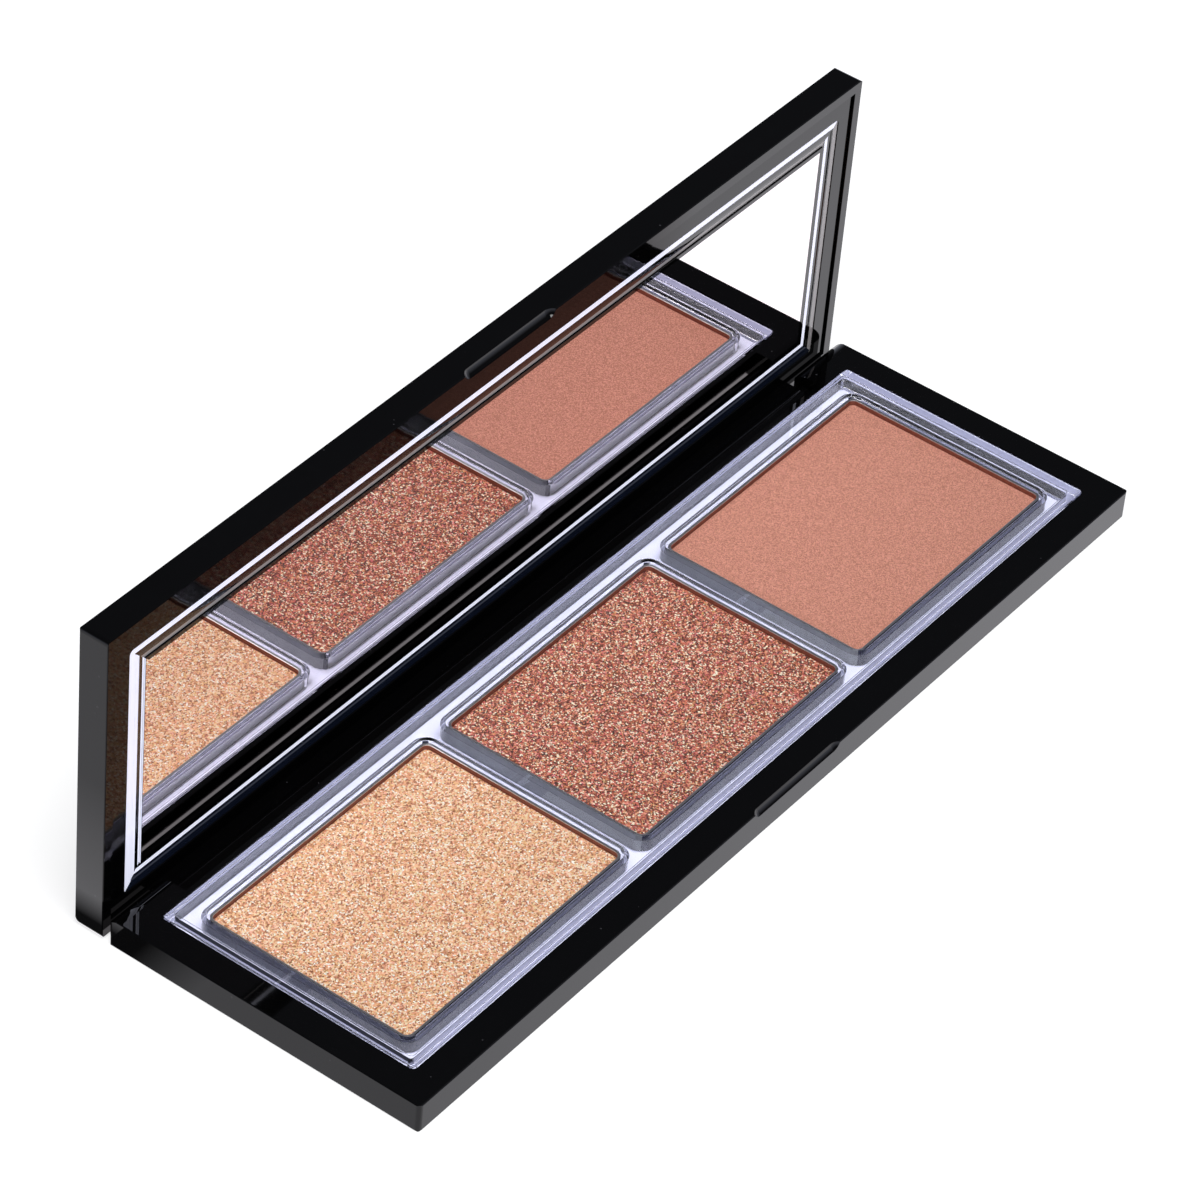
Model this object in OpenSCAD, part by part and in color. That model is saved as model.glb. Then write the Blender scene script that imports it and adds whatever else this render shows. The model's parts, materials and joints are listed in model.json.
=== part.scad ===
// Slim three-pan eyeshadow palette with a mirror lid.
// Origin: centre of the base's underside. +X runs along the hinge, +Y points to
// the hinge side, +Z is up. The lid is drawn standing open.

/* [Pans] */
// Length of one pan along the hinge
pan_l = 39.3; // [20:0.1:60]
// Width of one pan, front to back
pan_w = 28.9; // [18:0.1:40]
// Depth of a pan, from its underside to its rim
pan_d = 2.3; // [1.6:0.05:4]
// Corner radius of a pan
pan_r = 1.1; // [1:0.05:5]
// Sheet thickness of a pan
pan_wall = 0.35; // [0.2:0.05:0.6]
// How far the pressed powder lies below the rim
powder_drop = 0.6; // [0.1:0.05:1]
// Thickness of the glue pad under a pan
glue_t = 0.1; // [0.05:0.01:0.2]
// How far the glue pad stays inside the pan's outline
glue_margin = 4; // [2:0.5:8]

/* [Clear tray] */
// Gap between a pan and its opening
pan_gap = 0.4; // [0.1:0.05:0.6]
// Width of the bar between two openings
divider = 2.7; // [2.5:0.1:6]
// Tray width outside the end openings
tray_end = 3.1; // [2.8:0.05:6]
// Tray width in front of the openings
tray_front = 3.1; // [2.8:0.05:6]
// Tray width behind the openings
tray_back = 2.95; // [2.8:0.05:6]
// Corner radius of the tray
tray_r = 0.5; // [0.3:0.1:1.2]
// Wall thickness of the tray's outer skirt at the ends and the front
tray_rim = 1.25; // [0.6:0.05:1.6]
// Wall thickness of the tray's outer skirt at the hinge side
tray_back_rim = 0.45; // [0.3:0.05:1.6]
// Wall thickness of the skirt around each opening
tray_skirt = 0.5; // [0.3:0.05:0.8]
// Thickness of the tray's top
tray_skin = 0.7; // [0.5:0.05:1.2]
// How far the raised lip stands above the top
lip_h = 0.08; // [0.04:0.01:0.15]
// Thickness of the satin liner under the tray
liner_t = 0.3; // [0.2:0.05:0.5]
// How far the pan rims lie below the flange
rim_drop = 0.5; // [0.3:0.05:1]

/* [Base] */
// Gap between the tray and its pocket
tray_gap = 0.15; // [0.1:0.05:0.3]
// Width of the flange at each short end
end_flange = 3.9; // [3:0.1:8]
// Width of the flange along the front
front_flange = 4; // [3.6:0.1:8]
// Wall between the tray pocket and the hinge recess
rear_wall = 0.7; // [0.5:0.05:1.5]
// Floor thickness of the tray's pocket
pocket_floor = 0.45; // [0.3:0.05:1]
// Thickness of the bottom cover
cover_t = 0.6; // [0.4:0.05:1]
// Gap around and above the bottom cover
cover_gap = 0.05; // [0.03:0.01:0.15]
// Width of the foot rim around the bottom cover
cover_rim = 1; // [0.8:0.1:1.4]
// Radius of the upright corners of both shells
corner_r = 0.6; // [0.4:0.1:1.5]
// Bevel along the sharp edges of both shells
edge_bevel = 0.12; // [0.1:0.02:0.35]

/* [Hinge] */
// Distance from the back of the base to the hinge axis
hinge_inset = 1.85; // [1.6:0.05:2.2]
// Height of the hinge axis above the underside
hinge_rise = 1.55; // [1.5:0.05:1.8]
// Length of each end lug along the hinge
lug_l = 9; // [7.5:0.1:14]
// Radius of the lid's hinge barrel
barrel_r = 1.25; // [1.1:0.05:1.4]
// Gap between the barrel and the recess wall
barrel_gap = 0.45; // [0.3:0.05:0.8]
// End gap between the barrel and each lug
knuckle_gap = 0.3; // [0.2:0.05:0.6]
// Diameter of a hinge pin
pin_d = 1.2; // [1:0.05:1.4]
// Length of a hinge pin
pin_l = 12; // [9:0.5:14]
// Radial clearance of a pin in the barrel
pin_play = 0.03; // [0.02:0.01:0.06]
// Radial clearance of a pin in its lug
pin_fit = 0.01; // [0.01:0.005:0.03]
// Radius of the lid's outer edge along the hinge
heel_r = 1.5; // [0.5:0.1:1.8]
// Angle of the lid as drawn, from closed
open_angle = 90; // [0:1:91]

/* [Lid] */
// Gap between the closed lid and the flange
lid_gap = 0.25; // [0.2:0.05:0.5]
// Height of the open lid's heel above the table
heel_gap = 0.2; // [0.1:0.05:0.4]
// Wall thickness of the lid at the ends and the front
lid_rim = 1.4; // [1:0.1:2.5]
// Wall thickness of the lid at the hinge
lid_hinge_wall = 1.9; // [1.6:0.1:3]
// Thickness of the lid's outer face
lid_skin = 0.8; // [0.6:0.1:3]
// How far the inner frame lies below the lid's rim
frame_drop = 0.3; // [0.1:0.05:0.5]
// Space for glue and magnets behind the inner frame
frame_behind = 0.8; // [0.8:0.05:2]
// Gap between the inner frame and the lid's walls
frame_gap = 0.15; // [0.1:0.05:0.3]
// Thickness of the inner frame behind the mirror
frame_floor = 0.9; // [0.6:0.05:2]
// Width of the inner frame at the ends and the front
frame_border = 2.5; // [1.5:0.1:6]
// Width of the inner frame at the hinge
frame_foot = 1.75; // [1.2:0.05:4]

/* [Mirror] */
// Thickness of the mirror
mirror_t = 1; // [0.8:0.05:2]
// Thickness of the tape behind the mirror
tape_t = 0.2; // [0.1:0.05:0.5]
// How far the tape stays inside the mirror's outline
tape_margin = 3; // [1:0.5:8]
// How far the mirror lies below the inner frame's face
mirror_drop = 0.1; // [0.05:0.01:0.2]
// Gap between the mirror and its clear surround
mirror_gap = 0.1; // [0.05:0.05:0.2]
// Width of the clear surround
surround_w = 2.6; // [1.5:0.1:5]
// How far the clear surround lies below the inner frame's face
surround_drop = 0.1; // [0.05:0.01:0.2]
// Depth of the surround's step down towards the mirror
surround_step = 0.15; // [0.1:0.05:0.3]

/* [Closure] */
// Length of a magnet
magnet_l = 10; // [6:0.5:16]
// Width of a magnet
magnet_w = 2; // [1.5:0.1:2.2]
// Height of a magnet in the base
base_magnet_h = 1.6; // [1:0.1:1.8]
// Height of a magnet in the lid
lid_magnet_h = 0.7; // [0.4:0.05:0.75]
// Gap between a magnet and its pocket
magnet_gap = 0.05; // [0.03:0.01:0.1]
// Distance from the middle of the palette to a magnet
magnet_x = 45; // [20:1:58]
// Length of the fingernail notches
notch_l = 15.6; // [10:0.2:20]
// Depth of a notch down or up the front wall
notch_side = 0.8; // [0.4:0.05:1]
// Depth of the base's notch across the flange
notch_flange = 0.6; // [0.3:0.05:0.9]
// Depth of the lid's notch across its rim
notch_rim = 0.9; // [0.3:0.05:0.95]
// Radius of the notches' hollow
notch_r = 1.5; // [1.2:0.1:2.5]

/* [Hidden] */

eps = 0.02;          // overlap of a cut past the face that it opens
round_fn = 48;       // facets of round forms

pan_count = 3;       // left, middle and right

// Openings and tray
open_l = pan_l + 2 * pan_gap;
open_w = pan_w + 2 * pan_gap;
open_r = pan_r + pan_gap;
pitch = open_l + divider;
tray_l = pan_count * open_l + (pan_count - 1) * divider + 2 * tray_end;
tray_w = open_w + tray_front + tray_back;

// Base outline and levels
back_flange = rear_wall + barrel_gap + barrel_r + hinge_inset;
body_l = tray_l + 2 * (tray_gap + end_flange);
body_w = tray_w + 2 * tray_gap + front_flange + back_flange;
front_y = -body_w / 2;
tray_y = front_y + front_flange + tray_gap + tray_w / 2;
pan_y = front_y + front_flange + tray_gap + tray_front + open_w / 2;
cover_top = cover_t + cover_gap;
pocket_z = cover_top + pocket_floor;
pan_z = pocket_z + glue_t;
rim_z = pan_z + pan_d;
body_h = rim_z + rim_drop;
liner_top = pocket_z + liner_t;

// Hinge
hinge_y = body_w / 2 - hinge_inset;
hinge_z = hinge_rise;
lug_x = body_l / 2 - lug_l;
recess_y = hinge_y - barrel_r - barrel_gap;
barrel_half = lug_x - knuckle_gap;
pin_x = lug_x - knuckle_gap / 2;
pin_slack = 0.3;     // spare depth at each end of a pin
lug_round = body_h - hinge_z;

// Lid, in its closed place
seat_z = body_h + lid_gap;
face_z = seat_z + frame_drop;
lid_l = body_l;
lid_back = hinge_y + hinge_z - heel_gap;
lid_w = lid_back - front_y;
nest_d = mirror_drop + mirror_t + tape_t;
frame_t = nest_d + frame_floor;
cavity_d = frame_drop + frame_t + frame_behind;
lid_t = cavity_d + lid_skin;
cavity_back = lid_back - lid_hinge_wall;
cavity_front = front_y + lid_rim;
frame_back = cavity_back - frame_gap;
frame_front = cavity_front + frame_gap;
frame_l = lid_l - 2 * (lid_rim + frame_gap);
nest_back = frame_back - frame_foot;
nest_front = frame_front + frame_border;
nest_l = frame_l - 2 * frame_border;
nest_w = nest_back - nest_front;
nest_y = (nest_back + nest_front) / 2;
nest_gap = 0.05;     // gap around the clear surround
surround_t = nest_d - surround_drop;
nest_r = 0.6;        // corner radius of the frame's nest
mirror_inset = nest_gap + surround_w + mirror_gap;
mirror_l = nest_l - 2 * mirror_inset;
mirror_w = nest_w - 2 * mirror_inset;

// Magnets
base_magnet_y = front_y + (cover_rim + front_flange) / 2;
lid_magnet_y = cavity_front + magnet_gap + magnet_w / 2;

shell_black = [0.03, 0.03, 0.035];
frame_black = [0.06, 0.06, 0.07];
satin_white = [0.85, 0.85, 0.88];
clear_tint = [0.8, 0.82, 0.9, 0.4];
pan_metal = [0.78, 0.78, 0.8];
glue_tint = [0.9, 0.88, 0.8];
magnet_grey = [0.45, 0.45, 0.47];
pin_steel = [0.6, 0.6, 0.62];
mirror_tint = [0.75, 0.8, 0.85];
powder_tints = [[0.88, 0.69, 0.53], [0.65, 0.41, 0.33], [0.8, 0.55, 0.47]];

// Left end of the row of pans is number 0
function pan_x(i) = (i - (pan_count - 1) / 2) * pitch;

// Rectangle with a straight bevel on every corner, from z0 to z0 + h
module bevelled_side(l, z0, h, b)
    polygon([
        [-l / 2 + b, z0], [l / 2 - b, z0], [l / 2, z0 + b], [l / 2, z0 + h - b],
        [l / 2 - b, z0 + h], [-l / 2 + b, z0 + h], [-l / 2, z0 + h - b], [-l / 2, z0 + b]
    ]);

// Rectangle with true round corners, centred
module round_rect(l, w, r) {
    square([l - 2 * r, w], center = true);
    square([l, w - 2 * r], center = true);
    for (x = [-1, 1], y = [-1, 1])
        translate([x * (l / 2 - r), y * (w / 2 - r)])
            circle(r, $fn = round_fn);
}

// Flat plate with round corners, standing on z = 0
module plate(l, w, h, r)
    linear_extrude(h)
        round_rect(l, w, r);

// Profile drawn in Y and Z, drawn out along X over length l
module along_x(l)
    rotate([90, 0, 90])
        translate([0, 0, -l / 2])
            linear_extrude(l)
                children();

// Profile drawn in X and Z, drawn out along Y over length w
module along_y(w)
    rotate([90, 0, 0])
        translate([0, 0, -w / 2])
            linear_extrude(w)
                children();

// Block with round upright corners and bevelled edges, on z = z0
module shell_block(l, y_front, y_back, z0, h) {
    w = y_back - y_front;
    y = (y_back + y_front) / 2;
    intersection() {
        translate([0, y, z0])
            plate(l, w, h, corner_r);
        translate([0, y, 0])
            along_y(w + 2)
                bevelled_side(l, z0, h, edge_bevel);
        translate([0, y, 0])
            along_x(l + 2)
                bevelled_side(w, z0, h, edge_bevel);
    }
}

// Hollow for a fingernail at a front edge; wall_side is -1 where the front wall lies
// below the edge and 1 where it lies above
module notch(edge_z, across, wall_side) {
    chord = norm([across, notch_side]);
    reach = sqrt(notch_r * notch_r - chord * chord / 4);
    y = front_y + across / 2 - reach * notch_side / chord;
    z = edge_z + wall_side * (notch_side / 2 - reach * across / chord);
    straight = notch_l / 2 - chord / 2;
    translate([0, y, z])
        rotate([0, 90, 0]) {
            cylinder(r = notch_r, h = 2 * straight, center = true, $fn = round_fn);
            for (end = [-straight, straight])
                translate([0, 0, end])
                    sphere(notch_r, $fn = round_fn);
        }
}

// Turns what is drawn in the closed lid's place to where the open lid stands
module on_lid()
    translate([0, hinge_y, hinge_z])
        rotate([-open_angle, 0, 0])
            translate([0, -hinge_y, -hinge_z])
                children();

// Repeats a shape at each pan's place
module at_each_pan()
    for (i = [0:pan_count - 1])
        translate([pan_x(i), pan_y, 0])
            children();

// Back of an end lug: round about the hinge axis so that the lid can turn past it
module lug_back_cut() {
    past = hinge_inset + 1;
    translate([0, hinge_y, hinge_z])
        along_x(body_l + 2)
            difference() {
                square([past, lug_round + 1]);
                circle(lug_round, $fn = 2 * round_fn);
            }
}

module base_body() {
    cover_back = recess_y - cover_rim;
    cover_front = front_y + cover_rim;
    color(shell_black)
    difference() {
        shell_block(body_l, front_y, body_w / 2, 0, body_h);
        lug_back_cut();
        // Recess between the lugs for the lid's barrel
        translate([-lug_x, recess_y, -1])
            cube([2 * lug_x, body_w, body_h + 2]);
        // Pocket of the tray and its liner
        translate([0, tray_y, pocket_z])
            plate(tray_l + 2 * tray_gap, tray_w + 2 * tray_gap, body_h, tray_r + tray_gap);
        // Seat of the bottom cover
        translate([0, (cover_front + cover_back) / 2, -1])
            plate(body_l - 2 * cover_rim, cover_back - cover_front, cover_top + 1, corner_r);
        for (x = [-magnet_x, magnet_x])
            translate([x, base_magnet_y, cover_top - eps])
                magnet_block(magnet_gap, base_magnet_h + magnet_gap + eps);
        for (side = [-1, 1])
            pin_bore(side, pin_fit);
        notch(body_h, notch_flange, -1);
    }
}

// Magnet bar, grown by gap on each side, standing on z = 0
module magnet_block(gap, h)
    translate([-magnet_l / 2 - gap, -magnet_w / 2 - gap, 0])
        cube([magnet_l + 2 * gap, magnet_w + 2 * gap, h]);

module bottom_cover() {
    front = front_y + cover_rim + cover_gap;
    back = recess_y - cover_rim - cover_gap;
    color(frame_black)
        translate([0, (front + back) / 2, 0])
            plate(body_l - 2 * (cover_rim + cover_gap), back - front, cover_t, corner_r - cover_gap);
}

module tray_liner()
    color(satin_white)
    difference() {
        translate([0, tray_y, pocket_z])
            plate(tray_l, tray_w, liner_t, tray_r);
        at_each_pan()
            translate([0, 0, pocket_z - 1])
                plate(open_l, open_w, liner_t + 2, open_r);
    }

module clear_tray() {
    inner_l = tray_l - 2 * tray_rim;
    inner_w = tray_w - tray_rim - tray_back_rim;
    inner_y = tray_y + (tray_rim - tray_back_rim) / 2;
    color(clear_tint)
    difference() {
        translate([0, tray_y, liner_top])
            plate(tray_l, tray_w, body_h - liner_top + lip_h, tray_r);
        // Step inside the raised lip
        translate([0, inner_y, body_h])
            plate(inner_l, inner_w, 1, tray_r);
        // Hollow underneath, between the outer skirt and the skirts of the openings
        difference() {
            translate([0, inner_y, liner_top - 1])
                plate(inner_l, inner_w, body_h - tray_skin - liner_top + 1, tray_r);
            at_each_pan()
                plate(open_l + 2 * tray_skirt, open_w + 2 * tray_skirt, body_h, open_r + tray_skirt);
        }
        at_each_pan()
            plate(open_l, open_w, body_h + 1, open_r);
    }
}

module pan(i)
    color(pan_metal)
    translate([pan_x(i), pan_y, pan_z])
        difference() {
            plate(pan_l, pan_w, pan_d, pan_r);
            translate([0, 0, pan_wall])
                plate(pan_l - 2 * pan_wall, pan_w - 2 * pan_wall, pan_d, pan_r - pan_wall);
        }

module powder(i)
    color(powder_tints[i % len(powder_tints)])
    translate([pan_x(i), pan_y, pan_z + pan_wall])
        plate(
            pan_l - 2 * pan_wall, pan_w - 2 * pan_wall,
            pan_d - pan_wall - powder_drop, pan_r - pan_wall
        );

module pan_glue(i)
    color(glue_tint)
    translate([pan_x(i), pan_y, pocket_z])
        plate(pan_l - 2 * glue_margin, pan_w - 2 * glue_margin, glue_t, pan_r);

module base_magnets()
    color(magnet_grey)
    for (x = [-magnet_x, magnet_x])
        translate([x, base_magnet_y, cover_top])
            magnet_block(0, base_magnet_h);

module hinge_pin(side)
    color(pin_steel)
    translate([side * pin_x, hinge_y, hinge_z])
        rotate([0, 90, 0])
            cylinder(d = pin_d, h = pin_l, center = true, $fn = round_fn);

// Bore of a hinge pin, with its radial clearance
module pin_bore(side, clearance)
    translate([side * pin_x, hinge_y, hinge_z])
        rotate([0, 90, 0])
            cylinder(
                d = pin_d + 2 * clearance, h = pin_l + 2 * pin_slack, center = true,
                $fn = round_fn
            );

// Round of the lid's outer edge along the hinge
module heel_cut()
    translate([0, lid_back - heel_r, seat_z + lid_t - heel_r])
        along_x(lid_l + 2)
            difference() {
                square(heel_r + 1);
                circle(heel_r, $fn = 2 * round_fn);
            }

module lid_shell() {
    web_front = cavity_back;
    web_back = min(lid_back, hinge_y + barrel_r);
    color(shell_black)
    on_lid()
    difference() {
        union() {
            difference() {
                shell_block(lid_l, front_y, lid_back, seat_z, lid_t);
                translate([-lid_l / 2 + lid_rim, cavity_front, seat_z - 1])
                    cube([lid_l - 2 * lid_rim, cavity_back - cavity_front, cavity_d + 1]);
                notch(seat_z, notch_rim, 1);
            }
            // Barrel, and the web that carries it
            translate([0, hinge_y, hinge_z])
                rotate([0, 90, 0])
                    cylinder(r = barrel_r, h = 2 * barrel_half, center = true, $fn = 2 * round_fn);
            translate([-barrel_half, web_front, hinge_z])
                cube([2 * barrel_half, web_back - web_front, seat_z + edge_bevel - hinge_z]);
        }
        for (side = [-1, 1])
            pin_bore(side, pin_play);
        heel_cut();
    }
}

module lid_inner_frame() {
    y = (frame_front + frame_back) / 2;
    color(frame_black)
    on_lid()
    difference() {
        translate([-frame_l / 2, frame_front, face_z])
            cube([frame_l, frame_back - frame_front, frame_t]);
        translate([0, nest_y, face_z - 1])
            plate(nest_l, nest_w, nest_d + 1, nest_r);
    }
}

module mirror()
    color(mirror_tint)
    on_lid()
    translate([0, nest_y, face_z + mirror_drop])
        plate(mirror_l, mirror_w, mirror_t, nest_r);

module mirror_surround() {
    outer_l = nest_l - 2 * nest_gap;
    outer_w = nest_w - 2 * nest_gap;
    step = surround_w / 2;
    color(clear_tint)
    on_lid()
    translate([0, nest_y, face_z])
    difference() {
        translate([0, 0, nest_d - surround_t])
            plate(outer_l, outer_w, surround_t, nest_r - nest_gap);
        // Step down to the mirror's side
        translate([0, 0, nest_d - surround_t - 1])
            plate(outer_l - 2 * step, outer_w - 2 * step, 1 + surround_step, nest_r);
        translate([0, 0, -1])
            plate(mirror_l + 2 * mirror_gap, mirror_w + 2 * mirror_gap, nest_d + 2, nest_r + mirror_gap);
    }
}

module mirror_tape()
    color(glue_tint)
    on_lid()
    translate([0, nest_y, face_z + mirror_drop + mirror_t])
        plate(mirror_l - 2 * tape_margin, mirror_w - 2 * tape_margin, tape_t, nest_r);

module lid_magnets()
    color(magnet_grey)
    on_lid()
    for (x = [-magnet_x, magnet_x])
        translate([x, lid_magnet_y, seat_z + cavity_d - lid_magnet_h])
            magnet_block(0, lid_magnet_h);

base_body();
bottom_cover();
tray_liner();
clear_tray();
pan(0);  // pan_left
pan(1);  // pan_middle
pan(2);  // pan_right
powder(0);  // powder_left
powder(1);  // powder_middle
powder(2);  // powder_right
pan_glue(0);  // pan_glue_left
pan_glue(1);  // pan_glue_middle
pan_glue(2);  // pan_glue_right
base_magnets();
hinge_pin(-1);  // hinge_pin_left
hinge_pin(1);  // hinge_pin_right
lid_shell();
lid_inner_frame();
mirror();
mirror_surround();
mirror_tape();
lid_magnets();
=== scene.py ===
"""Looks of a slim three-pan eyeshadow palette with a mirror in its lid.

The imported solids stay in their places. Each sub-assembly is a class that dresses its solids
and builds the finer pieces that stand for some of them.
"""

import json
import logging
import math
from dataclasses import dataclass, field
from enum import Enum, IntEnum
from typing import Optional, Sequence

import bmesh
import bpy
from mathutils import Matrix, Vector

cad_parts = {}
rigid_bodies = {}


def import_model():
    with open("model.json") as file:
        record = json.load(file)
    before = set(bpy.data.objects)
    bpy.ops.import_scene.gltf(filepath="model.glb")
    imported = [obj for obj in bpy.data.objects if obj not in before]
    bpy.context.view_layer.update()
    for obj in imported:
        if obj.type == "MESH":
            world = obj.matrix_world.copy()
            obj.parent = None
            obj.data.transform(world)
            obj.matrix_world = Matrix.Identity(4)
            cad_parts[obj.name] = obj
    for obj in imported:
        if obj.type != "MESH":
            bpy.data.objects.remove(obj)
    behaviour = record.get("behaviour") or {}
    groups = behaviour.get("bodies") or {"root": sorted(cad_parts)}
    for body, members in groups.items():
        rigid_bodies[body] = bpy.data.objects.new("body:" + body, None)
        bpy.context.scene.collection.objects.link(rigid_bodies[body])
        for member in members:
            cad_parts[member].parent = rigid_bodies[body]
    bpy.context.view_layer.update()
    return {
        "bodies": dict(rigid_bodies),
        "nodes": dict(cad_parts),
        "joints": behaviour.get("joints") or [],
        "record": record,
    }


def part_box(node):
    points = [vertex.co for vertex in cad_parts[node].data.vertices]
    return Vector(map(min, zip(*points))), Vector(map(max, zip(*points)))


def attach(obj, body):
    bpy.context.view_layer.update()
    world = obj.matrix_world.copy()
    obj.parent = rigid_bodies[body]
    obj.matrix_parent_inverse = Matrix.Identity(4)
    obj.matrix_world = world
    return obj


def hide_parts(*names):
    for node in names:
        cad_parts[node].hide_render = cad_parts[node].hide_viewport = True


log = logging.getLogger("palette")
MM = 0.001
SHARP_ANGLE = math.radians(32.0)
FLAT_ANGLE = math.radians(0.5)
MERGE_DISTANCE = 1e-6
ROUND = 0.5

Triple = tuple[float, float, float]
Colour = Triple
Span = tuple[float, float]
Node = bpy.types.Node
NodeTree = bpy.types.NodeTree
Socket = bpy.types.NodeSocket
WHITE: Colour = (1.0, 1.0, 1.0)


def linear(red: int, green: int, blue: int) -> Colour:
    """Turns a colour in display steps into the linear values that a shader takes.

    Args:
        red: the red step, from 0 to 255.
        green: the green step.
        blue: the blue step.

    Returns:
        The linear colour.
    """
    def channel(step: int) -> float:
        """Returns one step's linear value."""
        part = step / 255
        return part / 12.92 if part <= 0.04045 else ((part + 0.055) / 1.055) ** 2.4
    return channel(red), channel(green), channel(blue)


def times(share: float, colour: Colour) -> Colour:
    """Returns a colour made darker or lighter by a share."""
    return tuple(share * part for part in colour)


# ---------------------------------------------------------------- node graphs


class Graph:
    """A node tree with short calls for adding and joining nodes."""

    def __init__(self, tree: NodeTree) -> None:
        """Keeps the tree that nodes are added to."""
        self.tree = tree

    def add(self, kind: str, settings: Optional[dict] = None, **inputs: object) -> Node:
        """Adds a node.

        Args:
            kind: the node's type name, without its ShaderNode beginning.
            settings: values for the node's own properties.
            inputs: a socket or a value for each named input; spaces are written as underscores.

        Returns:
            The new node.
        """
        node = self.tree.nodes.new("ShaderNode" + kind)
        for name, value in (settings or {}).items():
            setattr(node, name, value)
        for name, value in inputs.items():
            self.feed(node, name.replace("_", " "), value)
        return node

    def feed(self, node: Node, name: object, value: object) -> None:
        """Joins a socket to a node's input, or writes a plain value there.

        Args:
            node: the node that is fed.
            name: the input's name or number.
            value: a socket, a number or a colour.
        """
        target = node.inputs[name]
        if isinstance(value, Socket):
            self.tree.links.new(value, target)
        elif target.type == "RGBA" and len(value) == 3:
            target.default_value = (*value, 1.0)
        else:
            target.default_value = value

    def numbered(self, kind: str, settings: dict, *values: object) -> Node:
        """Adds a node whose inputs are fed by number.

        Args:
            kind: the node's type name, without its ShaderNode beginning.
            settings: values for the node's own properties.
            values: sockets or values for the first inputs, in order.

        Returns:
            The new node.
        """
        node = self.add(kind, settings)
        for index, value in enumerate(values):
            self.feed(node, index, value)
        return node

    def math(self, operation: str, *values: object) -> Socket:
        """Returns the result of a Math node on one to three sockets or numbers."""
        return self.numbered("Math", {"operation": operation}, *values).outputs[0]

    def vector(self, operation: str, *values: object) -> Socket:
        """Returns the result of a Vector Math node on one or two sockets or vectors."""
        return self.numbered("VectorMath", {"operation": operation}, *values).outputs[0]

    def mix(self, factor: object, first: object, second: object, blend: str = "MIX") -> Socket:
        """Mixes two colours.

        Args:
            factor: the share of the second colour.
            first: the first colour.
            second: the second colour.
            blend: how the second colour is laid on the first.

        Returns:
            The mixed colour.
        """
        node = self.add("Mix", {"data_type": "RGBA", "blend_type": blend})
        self.feed(node, 0, factor)
        self.feed(node, 6, first)
        self.feed(node, 7, second)
        return node.outputs[2]

    def mix_shaders(self, factor: Socket, first: Node, second: Node) -> Node:
        """Returns a node that shows one shader node where the factor is 0, another where it is 1."""
        return self.numbered("MixShader", {}, factor, first.outputs[0], second.outputs[0])

    def remap(self, value: Socket, span: Span, to: Span = (0.0, 1.0)) -> Socket:
        """Returns a value carried from one span to another and held inside it."""
        return self.numbered("MapRange", {"clamp": True}, value, *span, *to).outputs[0]

    def pick(self, mask: Socket, off: object, on: object) -> Socket:
        """Returns one value where the mask is 0 and another where it is 1."""
        return self.math("MULTIPLY_ADD", mask, self.math("SUBTRACT", on, off), off)

    def ramp(self, value: Socket, stops: Sequence[tuple[float, Colour]]) -> Socket:
        """Reads a colour from a ramp.

        Args:
            value: where to read, from 0 to 1.
            stops: the ramp's places and their colours.

        Returns:
            The colour.
        """
        node = self.add("ValToRGB", Fac=value)
        elements = node.color_ramp.elements
        while len(elements) < len(stops):
            elements.new(1.0)
        for element, (place, colour) in zip(elements, stops):
            element.position = place
            element.color = (*colour, 1.0)
        return node.outputs[0]

    def group(self, tree: NodeTree, **inputs: object) -> Node:
        """Places a node group.

        Args:
            tree: the group.
            inputs: a socket or a value for each named input of the group.

        Returns:
            The group's node.
        """
        node = self.tree.nodes.new("ShaderNodeGroup")
        node.node_tree = tree
        for name, value in inputs.items():
            self.feed(node, name, value)
        return node

    def place(self) -> Socket:
        """Returns the object coordinates, in metres."""
        return self.add("TexCoord").outputs["Object"]

    def along_across(self) -> tuple[Socket, Socket]:
        """Returns the object coordinates along X and along Y."""
        parts = self.add("SeparateXYZ", Vector=self.place())
        return parts.outputs[0], parts.outputs[1]

    def seen(self) -> Socket:
        """Returns 1 for what the camera sees, directly or through something clear, else 0."""
        path = self.add("LightPath").outputs
        return self.math("MAXIMUM", path["Is Camera Ray"], path["Is Transmission Ray"])


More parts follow.
